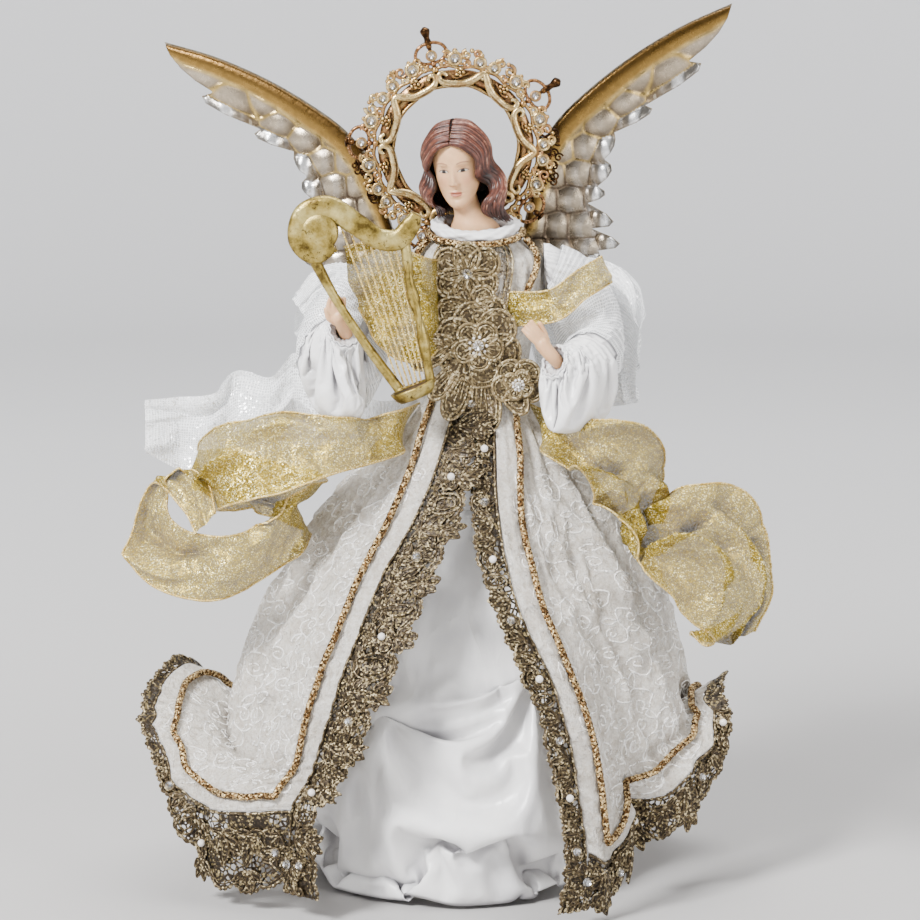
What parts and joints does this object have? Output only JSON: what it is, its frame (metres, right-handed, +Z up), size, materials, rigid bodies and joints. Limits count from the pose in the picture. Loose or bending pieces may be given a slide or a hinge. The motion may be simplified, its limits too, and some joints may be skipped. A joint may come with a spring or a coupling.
{
  "type": "angel tree topper",
  "caption": "Robed angel figure on a card cone that slips over a tree's tip, with folding tin wings, a filigree halo and a harp on an arm that can be raised.",
  "frame": {"origin": "on the floor below the middle of the part's box", "axes": "+Z up along the figure, -Y the way the figure faces, +X to the right of someone who looks at its face"},
  "size_m": [0.2829, 0.1809, 0.39],
  "materials": {
    "card": "plain rolled card",
    "foam": "moulded white foam",
    "satin": "white satin",
    "brocade": "ivory brocade with raised scrolls and glitter",
    "lace": "bronze gold sequin lace",
    "braid": "metallic bronze braid",
    "organza": "sheer gold glitter organza with wired edges",
    "tulle": "white glitter tulle",
    "skin": "painted resin",
    "halo_metal": "champagne gold plated casting",
    "tin": "embossed tin with an antique bronze wash",
    "gilt": "gold leaf on resin, speckled dark",
    "string": "gold wire",
    "wire": "zinc plated steel",
    "crystal": "cut glass"
  },
  "bodies": {
    "gown": {"chest_applique": "lace", "chest_crystal": "crystal", "collar": "satin", "foot_ring": "card", "halo": "halo_metal", "halo_stem": "wire", "halo_stone_1": "crystal", "halo_stone_2": "crystal", "halo_stone_3": "crystal", "halo_stone_4": "crystal", "halo_stone_5": "crystal", "head_casting": "skin", "hem_cord": "braid", "hem_lace": "lace", "left_bodice_cord": "braid", "left_bracket_screw": "wire", "left_front_cord": "braid", "left_front_lace": "lace", "left_sash": "organza", "left_tulle_high": "tulle", "left_tulle_low": "tulle", "left_wing_pin": "wire", "neck_cord": "braid", "right_bodice_cord": "braid", "right_bracket_screw": "wire", "right_front_cord": "braid", "right_front_lace": "lace", "right_sash": "organza", "right_tulle": "tulle", "right_wing_pin": "wire", "robe_bodice": "brocade", "robe_skirt": "brocade", "shoulder_sash": "organza", "side_flower": "lace", "support_cone": "card", "torso_core": "foam", "underskirt": "satin", "waist_crystal": "crystal", "waist_flower": "lace", "wing_bracket": "wire"},
    "wing_left": {"left_wing": "tin"},
    "wing_right": {"right_wing": "tin"},
    "arm_left": {"left_sleeve": "satin", "left_arm_wire": "wire", "left_hand": "skin", "harp_frame": "gilt", "harp_string_1": "string", "harp_string_2": "string", "harp_string_3": "string", "harp_string_4": "string", "harp_string_5": "string", "harp_string_6": "string", "harp_string_7": "string"},
    "arm_right": {"right_sleeve": "satin", "right_arm_wire": "wire", "right_hand": "skin"}
  },
  "joints": [
    {"name": "left_wing_fold", "type": "hinge", "parent": "gown", "child": "wing_left", "pos_m": [-0.0113, 0.024, 0.268], "axis": [0, 0, -1], "range_deg": [-8, 35]},
    {"name": "right_wing_fold", "type": "hinge", "parent": "gown", "child": "wing_right", "pos_m": [0.0167, 0.024, 0.268], "axis": [0, 0, 1], "range_deg": [-8, 35]},
    {"name": "left_arm_raise", "type": "hinge", "parent": "gown", "child": "arm_left", "pos_m": [-0.0194, 0, 0.279], "axis": [-1, 0, 0], "range_deg": [0, 25]},
    {"name": "right_arm_raise", "type": "hinge", "parent": "gown", "child": "arm_right", "pos_m": [0.0394, 0, 0.279], "axis": [-1, 0, 0], "range_deg": [0, 12]}
  ]
}
